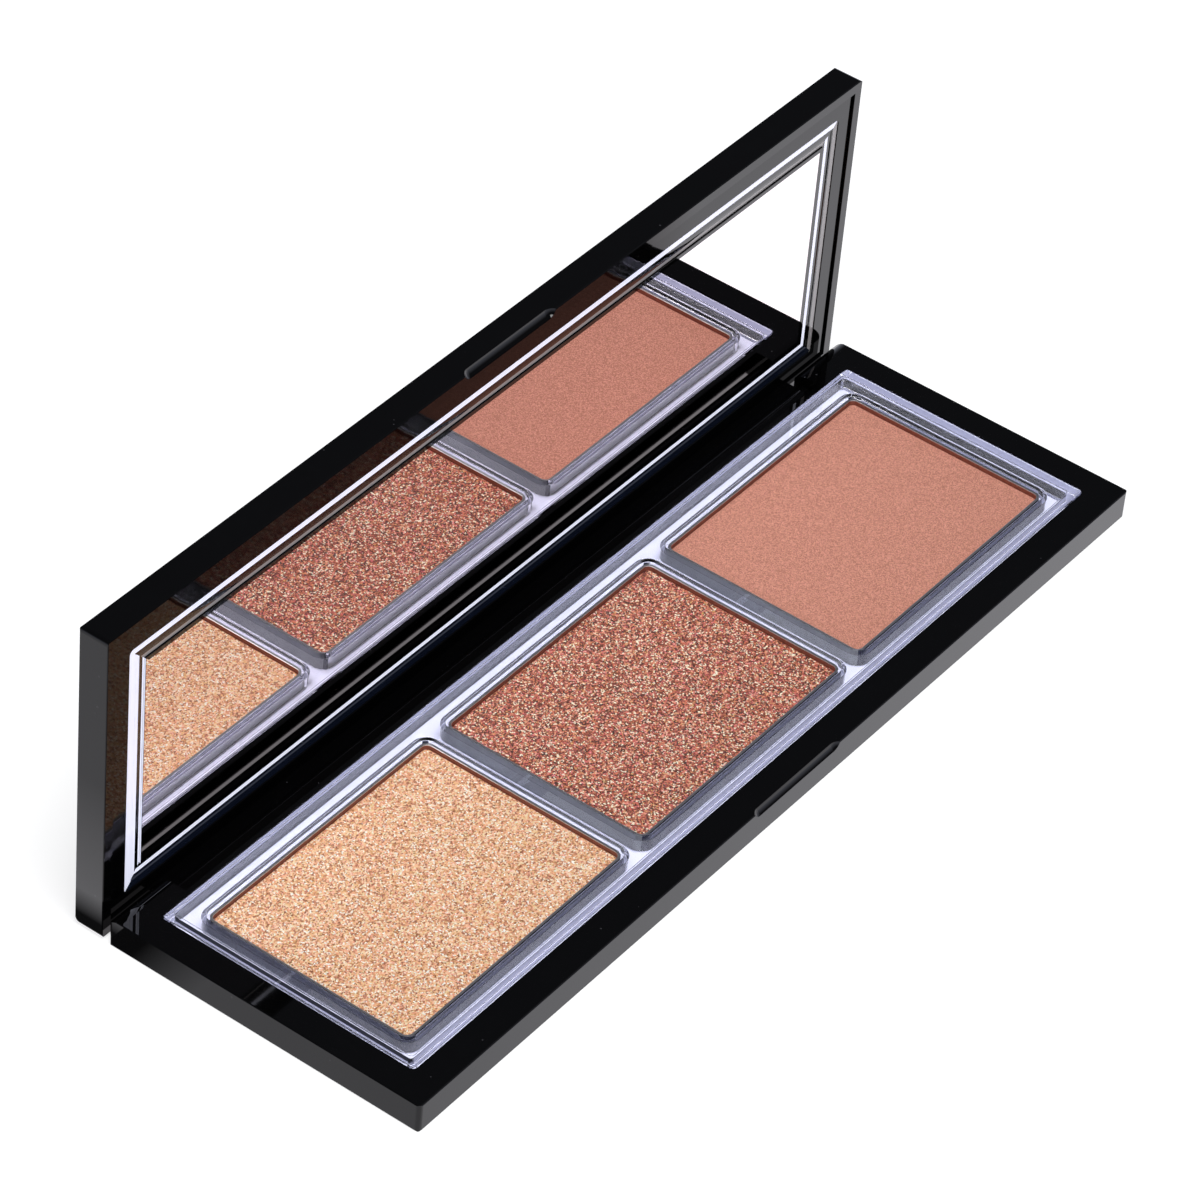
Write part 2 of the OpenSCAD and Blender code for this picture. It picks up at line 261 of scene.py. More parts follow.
@dataclass
class SharedEffects:
    """Node groups that several finishes use, each built once."""

    dot_least: float = 0.06
    dot_spread: float = 0.16
    fine_marks: float = 9.0
    fine_grain: float = 2.7
    fine_share: float = 0.5

    def __post_init__(self) -> None:
        """Builds every group."""
        self.specks = self._specks()
        self.smudges = self._smudges()
        self.grain = self._grain()
        self.flakes = self._flakes()

    @staticmethod
    def _new(name: str, inputs: Sequence[str], outputs: dict[str, str]
             ) -> tuple[Graph, dict[str, Socket], Node]:
        """Starts a group with its sockets.

        Args:
            name: the group's name.
            inputs: names of the number inputs that follow the Vector input.
            outputs: each output's name and kind.

        Returns:
            The graph, the inputs by name, and the output node.
        """
        tree = bpy.data.node_groups.new(name, "ShaderNodeTree")
        tree.interface.new_socket("Vector", in_out="INPUT", socket_type="NodeSocketVector")
        for label in inputs:
            tree.interface.new_socket(label, in_out="INPUT", socket_type="NodeSocketFloat")
        for label, kind in outputs.items():
            tree.interface.new_socket(label, in_out="OUTPUT", socket_type="NodeSocket" + kind)
        given = tree.nodes.new("NodeGroupInput").outputs
        named = {label: given[label] for label in ("Vector", *inputs)}
        return Graph(tree), named, tree.nodes.new("NodeGroupOutput")

    def _specks(self) -> NodeTree:
        """Builds sparse dust: small dots, with some cells of a lattice left bare.

        Returns:
            The group; its output is a mask.
        """
        g, given, out = self._new("dust specks", ["Scale", "Share"], {"Mask": "Float"})
        cells = g.add("TexVoronoi", {"voronoi_dimensions": "3D"},
                      Vector=given["Vector"], Scale=given["Scale"])
        chance = g.add("SeparateColor", Color=cells.outputs["Color"])
        chosen = g.math("LESS_THAN", chance.outputs[0], given["Share"])
        size = g.math("MULTIPLY_ADD", chance.outputs[1], self.dot_spread, self.dot_least)
        dot = g.math("LESS_THAN", cells.outputs["Distance"], size)
        g.feed(out, "Mask", g.math("MULTIPLY", chosen, dot))
        return g.tree

    def _smudges(self) -> NodeTree:
        """Builds faint finger marks in soft uneven patches.

        Returns:
            The group; its output is a value from 0 to 1.
        """
        g, given, out = self._new("finger marks", ["Scale"], {"Value": "Float"})
        broad = g.add("TexNoise", Vector=given["Vector"], Scale=given["Scale"], Detail=3.0,
                      Roughness=0.55, Distortion=0.6)
        fine = g.add("TexNoise", Vector=given["Vector"], Detail=4.0, Roughness=0.7,
                     Scale=g.math("MULTIPLY", given["Scale"], self.fine_marks))
        both = g.math("MULTIPLY", g.remap(broad.outputs[0], (0.45, 0.75)),
                      g.remap(fine.outputs[0], (0.35, 0.7)))
        g.feed(out, "Value", both)
        return g.tree

    def _grain(self) -> NodeTree:
        """Builds fine grain from two sizes of noise.

        Returns:
            The group; its output is a height.
        """
        g, given, out = self._new("fine grain", ["Scale"], {"Height": "Float"})
        coarse = g.add("TexNoise", Vector=given["Vector"], Scale=given["Scale"], Detail=2.0,
                       Roughness=0.6)
        fine = g.add("TexNoise", Vector=given["Vector"], Detail=1.0,
                     Scale=g.math("MULTIPLY", given["Scale"], self.fine_grain))
        height = g.math("MULTIPLY_ADD", fine.outputs[0], self.fine_share, coarse.outputs[0])
        g.feed(out, "Height", height)
        return g.tree

    def _flakes(self) -> NodeTree:
        """Builds pigment flakes, one to each small cell.

        Returns:
            The group; its outputs are two random values, a random hue and a tilted normal.
        """
        g, given, out = self._new(
            "pigment flakes", ["Scale", "Tilt"],
            {"Light": "Float", "Tint": "Float", "Hue": "Color", "Normal": "Vector"})
        cells = g.add("TexVoronoi", {"voronoi_dimensions": "3D"},
                      Vector=given["Vector"], Scale=given["Scale"])
        parts = g.add("SeparateColor", Color=cells.outputs["Color"])
        g.feed(out, "Light", parts.outputs[0])
        g.feed(out, "Tint", parts.outputs[1])
        g.feed(out, "Hue", cells.outputs["Color"])
        centred = g.vector("SUBTRACT", cells.outputs["Color"], (0.5, 0.5, 0.5))
        lean = g.add("VectorMath", {"operation": "SCALE"}, Vector=centred, Scale=given["Tilt"])
        leaning = g.vector("ADD", lean.outputs[0], g.add("NewGeometry").outputs["Normal"])
        g.feed(out, "Normal", g.vector("NORMALIZE", leaning))
        return g.tree


# -------------------------------------------------------------------- finishes


@dataclass
class Blank:
    """A new material that a finish works on, with the shared effects at hand."""

    g: Graph
    shader: Node
    output: Node
    effects: SharedEffects
    grain_span: Span = (0.5, 1.0)

    def set(self, socket: str, value: object) -> None:
        """Feeds one of the shader's inputs."""
        self.g.feed(self.shader, socket, value)

    def show(self, shader: Node) -> None:
        """Joins a shader node to the material's surface."""
        self.g.feed(self.output, "Surface", shader.outputs[0])

    def marks(self, scale: float) -> Socket:
        """Returns the value of finger marks of a given scale."""
        group = self.g.group(self.effects.smudges, Vector=self.g.place(), Scale=scale)
        return group.outputs["Value"]

    def specks(self, scale: float, share: float) -> Socket:
        """Returns a mask of dust that lies in a share of a lattice's cells."""
        group = self.g.group(self.effects.specks, Vector=self.g.place(), Scale=scale, Share=share)
        return group.outputs["Mask"]

    def grain(self, scale: float, place: Optional[Socket] = None) -> Socket:
        """Returns the height of fine grain, at the object's own coordinates or at others."""
        where = self.g.place() if place is None else place
        return self.g.group(self.effects.grain, Vector=where, Scale=scale).outputs["Height"]

    def grained(self, height: Socket, low: Colour, high: Colour) -> Socket:
        """Returns one colour where the grain is low, passing into another where it is high."""
        return self.g.mix(self.g.remap(height, self.grain_span), low, high)

    def relief(self, height: Socket, strength: float, depth: float) -> None:
        """Feeds the shader's normal from a height."""
        bump = self.g.add("Bump", Height=height, Strength=strength, Distance=depth)
        self.set("Normal", bump.outputs[0])


@dataclass(frozen=True)
class Finish:
    """A finish that makes one material from shared effects."""

    name: str

    def make(self, effects: SharedEffects) -> bpy.types.Material:
        """Builds the material.

        Args:
            effects: the shared node groups.

        Returns:
            The finished material.
        """
        material = bpy.data.materials.new(self.name)
        material.use_nodes = True
        material.node_tree.nodes.clear()
        g = Graph(material.node_tree)
        blank = Blank(g, g.add("BsdfPrincipled"), g.add("OutputMaterial"), effects)
        blank.show(blank.shader)
        self.dress(blank)
        return material

    def dress(self, blank: Blank) -> None:
        """Sets the shader's values and patterns on a new material."""
        raise NotImplementedError


@dataclass(frozen=True)
class GlossPlastic(Finish):
    """Polished dark moulded plastic with faint finger marks and a little dust."""

    colour: Colour = (0.0009, 0.0009, 0.001)
    dust: Colour = (0.03, 0.03, 0.033)
    polish: float = 0.03
    ior: float = 1.5
    mark: float = 0.05
    mark_scale: float = 70.0
    mark_share: float = 1.6
    dust_share: float = 0.012
    dust_scale: float = 1600.0
    grain_scale: float = 260.0
    relief: float = 0.02
    depth: float = 0.02 * MM

    def dress(self, blank: Blank) -> None:
        """Sets a near-black coat with marks in its polish.

        Args:
            blank: the new material.
        """
        marks = blank.marks(self.mark_scale)
        dots = blank.specks(self.dust_scale, self.dust_share)
        coat = blank.g.mix(marks, self.colour, times(self.mark_share, self.colour))
        blank.set("Base Color", blank.g.mix(dots, coat, self.dust))
        blank.set("Roughness", blank.g.math("MULTIPLY_ADD", marks, self.mark, self.polish))
        blank.set("IOR", self.ior)
        blank.relief(blank.grain(self.grain_scale), self.relief, self.depth)


@dataclass(frozen=True)
class PaintedReflectionGloss(GlossPlastic):
    """Gloss plastic with a painted reflection: at its front, specular level rises left to right,
    reddish where low.
    """

    faint: float = 0.34
    full: float = 0.6
    elsewhere: float = 0.5
    front_of: float = 1.0
    rise_span: Span = (24.0 * MM, 36.0 * MM)
    dim_reflection_tint: Colour = (1.0, 0.8, 0.78)

    def dress(self, blank: Blank) -> None:
        """Adds the painted reflection's grading to the polish.

        Args:
            blank: the new material.
        """
        super().dress(blank)
        g = blank.g
        # painted reflection: the front's specular level is graded from left to right, with a reddish
        # tint at the left
        along, across = g.along_across()
        rise = g.remap(along, self.rise_span)
        front = g.math("LESS_THAN", across, self.front_of)
        dimmed_reflection = g.math("MULTIPLY", front, g.math("SUBTRACT", 1.0, rise))
        blank.set("Specular Tint", g.mix(dimmed_reflection, WHITE, self.dim_reflection_tint))
        graded = g.math("MULTIPLY_ADD", rise, self.full - self.faint, self.faint)
        blank.set("Specular IOR Level", g.pick(front, self.elsewhere, graded))


@dataclass(frozen=True)
class SatinPlastic(Finish):
    """Finely textured plastic with a soft sheen."""

    colour: Colour = (0.5, 0.5, 0.5)
    other: Colour = (0.45, 0.45, 0.45)
    roughness: float = 0.4
    mark: float = 0.12
    mark_scale: float = 90.0
    grain_scale: float = 2500.0
    relief: float = 0.2
    depth: float = 0.01 * MM

    def dress(self, blank: Blank) -> None:
        """Sets a grained colour and height.

        Args:
            blank: the new material.
        """
        height = blank.grain(self.grain_scale)
        marks = blank.marks(self.mark_scale)
        blank.set("Base Color", blank.grained(height, self.colour, self.other))
        blank.set("Roughness", blank.g.math("MULTIPLY_ADD", marks, self.mark, self.roughness))
        blank.relief(height, self.relief, self.depth)


@dataclass(frozen=True)
class ShadePaintedLiner(SatinPlastic):
    """Satin liner with a painted shade: a dark slate border at its left end."""

    painted_shade_colour: Colour = linear(58, 60, 74)
    left_of: float = -65.0 * MM

    def dress(self, blank: Blank) -> None:
        """Adds the painted shade border to the satin.

        Args:
            blank: the new material.
        """
        super().dress(blank)
        satin = blank.shader.inputs["Base Color"].links[0].from_socket
        along, _ = blank.g.along_across()
        # painted shade: the satin turns dark slate left of this line
        painted_shade_mask = blank.g.math("LESS_THAN", along, self.left_of)
        blank.set("Base Color", blank.g.mix(painted_shade_mask, satin, self.painted_shade_colour))


@dataclass(frozen=True)
class GlowPaintedEdge(Finish):
    """Cut edge of a clear moulding with a painted glow: emission stands in for the light the
    moulding gathers.
    """

    colour: Colour = (0.8, 0.82, 0.95)
    glow: float = 0.45
    mark_scale: float = 40.0
    mark_share: float = 0.9
    mark: float = 0.1
    polish: float = 0.12

    def dress(self, blank: Blank) -> None:
        """Sets a glossy pale surface with a soft uneven painted glow.

        Args:
            blank: the new material.
        """
        marks = blank.marks(self.mark_scale)
        tint = blank.g.mix(marks, self.colour, times(self.mark_share, self.colour))
        blank.set("Base Color", tint)
        blank.set("Roughness", blank.g.math("MULTIPLY_ADD", marks, self.mark, self.polish))
        # painted glow: the edge emits light though it is no lamp
        blank.set("Emission Color", tint)
        blank.set("Emission Strength", self.glow)


@dataclass(frozen=True)
class ClearPlastic(Finish):
    """Clear moulded plastic that lets light through to what lies under it."""

    tint: Colour = (0.97, 0.975, 1.0)
    ior: float = 1.49
    mark_scale: float = 120.0
    mark_share: float = 0.98
    shadow_share: float = 0.93

    def dress(self, blank: Blank) -> None:
        """Sets a clear shader whose shadow is a light tint.

        Args:
            blank: the new material.
        """
        g = blank.g
        marks = blank.marks(self.mark_scale)
        blank.set("Base Color", g.mix(marks, self.tint, times(self.mark_share, self.tint)))
        blank.set("Roughness", 0.0)
        blank.set("IOR", self.ior)
        blank.set("Transmission Weight", 1.0)
        see_through = g.add("BsdfTransparent", Color=times(self.shadow_share, self.tint))
        shadow = g.add("LightPath").outputs["Is Shadow Ray"]
        blank.show(g.mix_shaders(shadow, blank.shader, see_through))


@dataclass(frozen=True)
class DrawnMetal(Finish):
    """Drawn sheet metal with fine uneven streaks."""

    colour: Colour = (0.8, 0.8, 0.82)
    roughness: float = 0.25
    streak: float = 0.1
    streak_share: float = 0.85
    streak_scale: float = 3000.0
    squeeze: Triple = (0.06, 1.0, 1.0)
    relief: float = 0.15
    depth: float = 0.01 * MM

    def dress(self, blank: Blank) -> None:
        """Sets a metal with streaks stretched along X.

        Args:
            blank: the new material.
        """
        g = blank.g
        stretched = g.add("Mapping", Vector=g.place(), Scale=self.squeeze)
        height = blank.grain(self.streak_scale, stretched.outputs[0])
        worn = times(self.streak_share, self.colour)
        blank.set("Base Color", blank.grained(height, self.colour, worn))
        blank.set("Metallic", 1.0)
        blank.set("Roughness", g.math("MULTIPLY_ADD", height, self.streak, self.roughness))
        blank.relief(height, self.relief, self.depth)


@dataclass(frozen=True)
class Silvering(Finish):
    """A glass mirror's bright face, with a few faint marks and a pinkish tint that is painted shade.
    """

    # painted shade: the pinkish tint darkens and reddens the powders seen in the mirror
    colour: Colour = (0.88, 0.82, 0.82)
    mark: float = 0.012
    mark_scale: float = 60.0
    mark_share: float = 0.97

    def dress(self, blank: Blank) -> None:
        """Sets a clean mirror with slight marks in its polish.

        Args:
            blank: the new material.
        """
        marks = blank.marks(self.mark_scale)
        marked = times(self.mark_share, self.colour)
        blank.set("Base Color", blank.g.mix(marks, self.colour, marked))
        blank.set("Metallic", 1.0)
        blank.set("Roughness", blank.g.math("MULTIPLY", marks, self.mark))


@dataclass(frozen=True)
class PressedPowder(Finish):
    """Pressed powder with pigment flakes of mixed lightness and tint, and painted glints on a share
    of them.
    """

    stops: tuple[tuple[float, Colour], ...] = ()
    painted_glint: Colour = WHITE
    painted_glint_share: float = 0.0
    flake_scale: float = 4000.0
    tilt: float = 0.8
    roughness: float = 0.6
    hue_share: float = 0.0

    def dress(self, blank: Blank) -> None:
        """Sets flake colours, painted glints, and a tilted normal for each flake.

        Args:
            blank: the new material.
        """
        g = blank.g
        flakes = g.group(blank.effects.flakes, Vector=g.place(), Scale=self.flake_scale,
                         Tilt=self.tilt).outputs
        colour = g.ramp(flakes["Light"], self.stops)
        colour = g.mix(self.hue_share, colour, flakes["Hue"], "OVERLAY")
        # painted glint: a share of the flakes is coloured near white
        if self.painted_glint_share > 0:
            bright = g.math("GREATER_THAN", flakes["Tint"], 1.0 - self.painted_glint_share)
            colour = g.mix(bright, colour, self.painted_glint)
        blank.set("Base Color", colour)
        blank.set("Roughness", self.roughness)
        blank.set("Normal", flakes["Normal"])


SHELL_BLACK = GlossPlastic("shell gloss black")
# the lid and the inner frame take the painted reflection grading
LID_BLACK = PaintedReflectionGloss("lid gloss black", faint=0.13, full=0.33, front_of=23.05 * MM)
FRAME_BLACK = PaintedReflectionGloss("frame gloss black", ior=1.3)
STRIP_BLACK = GlossPlastic("strip gloss black")
# painted reflection: the navy strip stands for a dark reflection in the clear surround
STRIP_NAVY_PAINTED_REFLECTION = GlossPlastic("strip navy painted reflection", linear(18, 24, 38))
COVER_BLACK = SatinPlastic("cover satin black", linear(22, 22, 24), linear(28, 28, 30),
                           roughness=0.45)
LINER_SATIN = ShadePaintedLiner("liner satin silver", linear(208, 209, 228), linear(204, 205, 226),
                           roughness=0.35, relief=0.05)
CLEAR = ClearPlastic("clear plastic")
# painted glow for the clear edges, bright and dim
PAINTED_GLOW_EDGE = GlowPaintedEdge("clear edge painted glow")
DIM_PAINTED_GLOW_EDGE = GlowPaintedEdge("clear edge dim painted glow", linear(150, 146, 146), glow=0.08)
PAN_ALUMINIUM = DrawnMetal("pan aluminium")
# painted shade: slate and grey stand in for the dark seen through the clear tray and on the pans'
# left and front sides
SLATE_PAINTED_SHADE = GlossPlastic("slate painted shade", linear(44, 46, 60))
GREY_PAINTED_SHADE = GlossPlastic("grey painted shade", linear(104, 106, 112))
# powder stain on the pans' inner walls, made darker than the powder as painted shade
PAN_STAIN_AND_SHADE = SatinPlastic("pan powder stain and painted shade", linear(104, 52, 40), linear(130, 70, 54),
                           roughness=0.5)
PIN_STEEL = DrawnMetal("pin steel", linear(150, 150, 155), roughness=0.3)
MAGNET_GREY = DrawnMetal("magnet plating", linear(120, 120, 124), roughness=0.35)
GLUE = SatinPlastic("adhesive", linear(225, 220, 200), linear(214, 208, 186), roughness=0.5)
MIRROR_SILVER = Silvering("mirror silver")
GOLD_POWDER = PressedPowder(
    "powder gold",
    ((0.0, linear(138, 66, 34)), (0.3, linear(206, 140, 100)), (0.7, linear(242, 192, 150)),
     (1.0, linear(255, 240, 208))),
    painted_glint=linear(255, 252, 240), painted_glint_share=0.08, flake_scale=5600.0, tilt=0.7, roughness=0.5,
    hue_share=0.18)
COPPER_POWDER = PressedPowder(
    "powder copper",
    ((0.0, linear(58, 18, 14)), (0.35, linear(133, 63, 48)), (0.8, linear(209, 130, 102)),
     (1.0, linear(255, 203, 162))),
    painted_glint=linear(255, 244, 218), painted_glint_share=0.1, flake_scale=5800.0, tilt=0.8, roughness=0.45,
    hue_share=0.34)
TERRACOTTA_POWDER = PressedPowder(
    "powder terracotta",
    ((0.0, linear(168, 108, 90)), (0.5, linear(191, 129, 110)), (1.0, linear(212, 150, 130))),
    flake_scale=8500.0, tilt=0.15, roughness=0.8, hue_share=0.05)


# -------------------------------------------------------------------- building


class Side(Enum):
    """The four sides of a framed plate, as seen from its face."""

    LEFT = "left"
    RIGHT = "right"
    TOP = "top"
    BOTTOM = "bottom"


class Body(Enum):
    """The two bodies that pieces move with."""

    BASE = "base"
    LID = "lid"


class Slab:
    """A round-cornered plate grown from one face by steps and insets, its face looking up."""

    corner_steps = 6

    def __init__(self, length: float, width: float, radius: float = 0.0) -> None:
        """Lays the first face, centred on the origin.

        Args:
            length: size along X.
            width: size along Y.
            radius: radius of the corners.
        """
        self.half = (length / 2, width / 2)
        self.bm = bmesh.new()
        bmesh.ops.create_grid(self.bm, x_segments=1, y_segments=1, size=0.5)
        bmesh.ops.scale(self.bm, vec=(length, width, 1.0), verts=self.bm.verts)
        if radius > 0:
            bmesh.ops.bevel(self.bm, geom=list(self.bm.verts), offset=radius,
                            offset_type="OFFSET", segments=self.corner_steps, profile=ROUND,
                            affect="VERTICES", material=-1)
        self.bm.faces.ensure_lookup_table()
        self.top = self.bm.faces[0]

    def step(self, rise: float, index: int = 0) -> list[bmesh.types.BMFace]:
        """Draws the top face up or down, with walls of one material.

        Args:
            rise: how far up; below zero is down.
            index: material index of the new walls.

        Returns:
            The new walls.
        """
        started = self.top
        closed = all(edge.is_manifold for edge in started.edges)
        grown = bmesh.ops.extrude_face_region(self.bm, geom=[started])["geom"]
        if closed and started.is_valid:
            bmesh.ops.delete(self.bm, geom=[started], context="FACES_ONLY")
        self.top = next(part for part in grown if isinstance(part, bmesh.types.BMFace))
        bmesh.ops.translate(self.bm, vec=(0.0, 0.0, rise), verts=list(self.top.verts))
        walls = [face for edge in self.top.edges for face in edge.link_faces if face is not self.top]
        for face in walls:
            face.material_index = index
        return walls

    def inset(self, width: float, rise: float = 0.0, index: int = 0) -> list[bmesh.types.BMFace]:
        """Lays a strip inside the top face.

        Args:
            width: the strip's width.
            rise: how far the strip climbs towards the middle.
            index: material index of the strip.

        Returns:
            The strip's faces.
        """
        ring = bmesh.ops.inset_region(self.bm, faces=[self.top], thickness=width, depth=rise,
                                      use_boundary=True, use_even_offset=True)["faces"]
        for face in ring:
            face.material_index = index
        return ring

    def side_of(self, face: bmesh.types.BMFace) -> Side:
        """Finds the side of the plate that a face lies at.

        Args:
            face: a wall or a piece of a strip.

        Returns:
            The side.
        """
        centre = face.calc_center_median()
        if self.half[0] - abs(centre.x) < self.half[1] - abs(centre.y):
            return Side.RIGHT if centre.x > 0 else Side.LEFT
        return Side.TOP if centre.y > 0 else Side.BOTTOM

    def open_below(self) -> None:
        """Joins the hole that was sunk to the bottom with the outer rim, which makes a ring."""
        sunk = [face for face in self.bm.faces
                if all(abs(vertex.co.z) < MERGE_DISTANCE for vertex in face.verts)]
        bmesh.ops.delete(self.bm, geom=sunk, context="FACES_ONLY")
        rims = [edge for edge in self.bm.edges if edge.is_boundary]
        bmesh.ops.bridge_loops(self.bm, edges=rims)


def soften(bm: bmesh.types.BMesh, edges: Sequence[bmesh.types.BMEdge], radius: float,
           segments: int = 3, index: int = -1) -> None:
    """Rounds some edges.

    Args:
        bm: the mesh they belong to.
        edges: the edges.
        radius: how far the rounding reaches on each side.
        segments: how many faces make the rounding.
        index: material index of the rounding; -1 takes the neighbours' own.
    """
    bmesh.ops.bevel(bm, geom=list(edges), offset=radius, offset_type="OFFSET", segments=segments,
                    profile=ROUND, affect="EDGES", clamp_overlap=False, material=index)


# ---------------------------------------------------------------- sub-assemblies


@dataclass
class Workshop:
    """What every sub-assembly works with: the frame and one material per finish."""

    frame: dict
    effects: SharedEffects = field(default_factory=SharedEffects)
    made: dict = field(default_factory=dict)

    def material(self, finish: Finish) -> bpy.types.Material:
        """Finds a finish's material, and builds it on its first use.

        Args:
            finish: the finish.

        Returns:
            The material.
        """
        if finish.name not in self.made:
            self.made[finish.name] = finish.make(self.effects)
        return self.made[finish.name]

    def dress(self, node: str, finish: Finish) -> None:
        """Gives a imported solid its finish.

        Args:
            node: the solid's name.
            finish: its finish.
        """
        for slot in self.frame["nodes"][node].material_slots:
            slot.material = self.material(finish)
        log.info("dressed %s with %s", node, finish.name)

    def stand_in(self, node: str, name: str, bm: bmesh.types.BMesh, finishes: Sequence[Finish],
                 body: Body, slot: str) -> None:
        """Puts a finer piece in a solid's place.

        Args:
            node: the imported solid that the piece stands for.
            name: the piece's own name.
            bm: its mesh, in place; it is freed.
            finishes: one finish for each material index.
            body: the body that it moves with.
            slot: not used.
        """
        bmesh.ops.recalc_face_normals(bm, faces=bm.faces)
        mesh = bpy.data.meshes.new(name)
        bm.to_mesh(mesh)
        bm.free()
        for finish in finishes:
            mesh.materials.append(self.material(finish))
        piece = bpy.data.objects.new(name, mesh)
        bpy.context.scene.collection.objects.link(piece)
        mesh.shade_smooth()
        mesh.set_sharp_from_angle(angle=SHARP_ANGLE)
        weigh = piece.modifiers.new("even shading", "WEIGHTED_NORMAL")
        weigh.keep_sharp = True
        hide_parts(node)
        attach(piece, body.value)
        log.info("built %s for %s", name, node)

    def softened(self, node: str, radius: float) -> bmesh.types.BMesh:
        """Copies a solid's mesh, merges it and rounds its sharp edges.

        Args:
            node: the solid's name.
            radius: how far the rounding reaches.

        Returns:
            The copy.
        """
        bm = bmesh.new()
        bm.from_mesh(self.frame["nodes"][node].data)
        bmesh.ops.remove_doubles(bm, verts=bm.verts, dist=MERGE_DISTANCE)
        bmesh.ops.dissolve_limit(bm, angle_limit=FLAT_ANGLE, verts=bm.verts, edges=bm.edges)
        soften(bm, [edge for edge in bm.edges
                    if edge.is_manifold and edge.calc_face_angle() > SHARP_ANGLE], radius)
        return bm


@dataclass
class PaletteBase:
    """The black base with its cover, magnets and hinge pins."""

    shop: Workshop

    def build(self) -> None:
        """Dresses the base's solids."""
        for node, finish in (("base_body", SHELL_BLACK), ("bottom_cover", COVER_BLACK),
                             ("base_magnets", MAGNET_GREY), ("hinge_pin_left", PIN_STEEL),
                             ("hinge_pin_right", PIN_STEEL)):
            self.shop.dress(node, finish)


class Well(Enum):
    """The tray's three openings, each with a pan and its powder."""

    LEFT = "left"
    MIDDLE = "middle"
    RIGHT = "right"


class TrayPart(IntEnum):
    """Material indices of the tray."""

    CLEAR = 0
    DARK_WALL = 1
    GREY_WALL = 2


class PanPart(IntEnum):
    """Material indices of a pan."""

    BRIGHT = 0
    OUTSIDE = 1
    INSIDE = 2


@dataclass
class PanTray:
    """The clear tray over its satin liner, with the pans and powders in it."""

    shop: Workshop
    tray_edge: float = 0.1 * MM
    sheet: float = 0.35 * MM
    pan_radius: float = 1.1 * MM
    rim_edge: float = 0.08 * MM
    powder_edge: float = 0.22 * MM
    well_margin: float = 0.5 * MM
    wall_lean: float = 0.3
    wall_facing: float = 0.7

    def build(self) -> None:
        """Dresses the liner and builds the tray, pans and powders."""
        self.shop.dress("tray_liner", LINER_SATIN)
        self._tray()
        powders = {Well.LEFT: GOLD_POWDER, Well.MIDDLE: COPPER_POWDER,
                   Well.RIGHT: TERRACOTTA_POWDER}
        for well, powder in powders.items():
            self._pan(well)
            self._powder(well, powder)
            self.shop.dress("pan_glue_" + well.value, GLUE)

    def _tray(self) -> None:
        """Builds the clear tray, the walls of its openings at the left and the front darkened with
        painted shade.
        """
        bm = self.shop.softened("clear_tray", self.tray_edge)
        for well in Well:
            low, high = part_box("pan_" + well.value)
            centre = (low + high) / 2
            reach = (high - low) / 2 + Vector((self.well_margin,) * 3)
            for face in bm.faces:
                away = face.calc_center_median() - centre
                leans = abs(face.normal.z) > self.wall_lean
                if leans or abs(away.x) > reach.x or abs(away.y) > reach.y:
                    continue
                # painted shade: front walls and the left opening's left walls are slate, the other
                # left walls grey
                at_left = face.normal.x > self.wall_facing
                if face.normal.y > self.wall_facing or (at_left and well is Well.LEFT):
                    face.material_index = TrayPart.DARK_WALL
                elif at_left:
                    face.material_index = TrayPart.GREY_WALL
        self.shop.stand_in("clear_tray", "moulded_tray", bm, [CLEAR, SLATE_PAINTED_SHADE, GREY_PAINTED_SHADE],
                           Body.BASE, "clear_plastic")

    @staticmethod
    def _place(slab: Slab, node: str) -> None:
        """Moves a slab to where a solid stands.

        Args:
            slab: the slab.
            node: the solid's name.
        """
        low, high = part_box(node)
        centre = Vector(((low.x + high.x) / 2, (low.y + high.y) / 2, low.z))
        bmesh.ops.translate(slab.bm, vec=centre, verts=slab.bm.verts)

    @staticmethod
    def _slab(node: str, radius: float) -> tuple[Slab, float]:
        """Starts a slab with a solid's outline, and returns it with the solid's height."""
        low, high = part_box(node)
        return Slab(high.x - low.x, high.y - low.y, radius), high.z - low.z

    def _pan(self, well: Well) -> None:
        """Builds one drawn pan: bright rim, painted slate shade outside at left and front, powder
        stain and painted shade inside.

        Args:
            well: the opening that it lies in.
        """
        node = "pan_" + well.value
        slab, depth = self._slab(node, self.pan_radius)
        # painted shade: the left and front outside walls are slate, the right and back ones bright
        # metal
        for wall in slab.step(depth, PanPart.OUTSIDE):
            if slab.side_of(wall) in (Side.RIGHT, Side.TOP):
                wall.material_index = PanPart.BRIGHT
        slab.inset(self.sheet, index=PanPart.BRIGHT)
        rim = list(slab.top.edges)
        slab.step(self.sheet - depth, PanPart.INSIDE)
        soften(slab.bm, [edge for edge in rim if edge.is_valid], self.rim_edge, segments=2,
               index=PanPart.BRIGHT)
        self._place(slab, node)
        self.shop.stand_in(node, "drawn_pan_" + well.value, slab.bm,
                           [PAN_ALUMINIUM, SLATE_PAINTED_SHADE, PAN_STAIN_AND_SHADE], Body.BASE, "pan_aluminium")

    def _powder(self, well: Well, finish: Finish) -> None:
        """Builds one block of pressed powder with a rounded edge.

        Args:
            well: the opening that it lies in.
            finish: the powder's finish.
        """
        node = "powder_" + well.value
        slab, depth = self._slab(node, self.pan_radius - self.sheet)
        slab.step(depth)
        soften(slab.bm, slab.top.edges, self.powder_edge)
        self._place(slab, node)
        self.shop.stand_in(node, "pressed_powder_" + well.value, slab.bm, [finish], Body.BASE,
                           finish.name.replace(" ", "_"))


class Tone(Enum):
    """Finishes of the surround's strips, in the order of their material indices: painted reflection
    and glow.
    """

    BLACK = STRIP_BLACK
    NAVY = STRIP_NAVY_PAINTED_REFLECTION
    LIT = PAINTED_GLOW_EDGE
    DIM = DIM_PAINTED_GLOW_EDGE


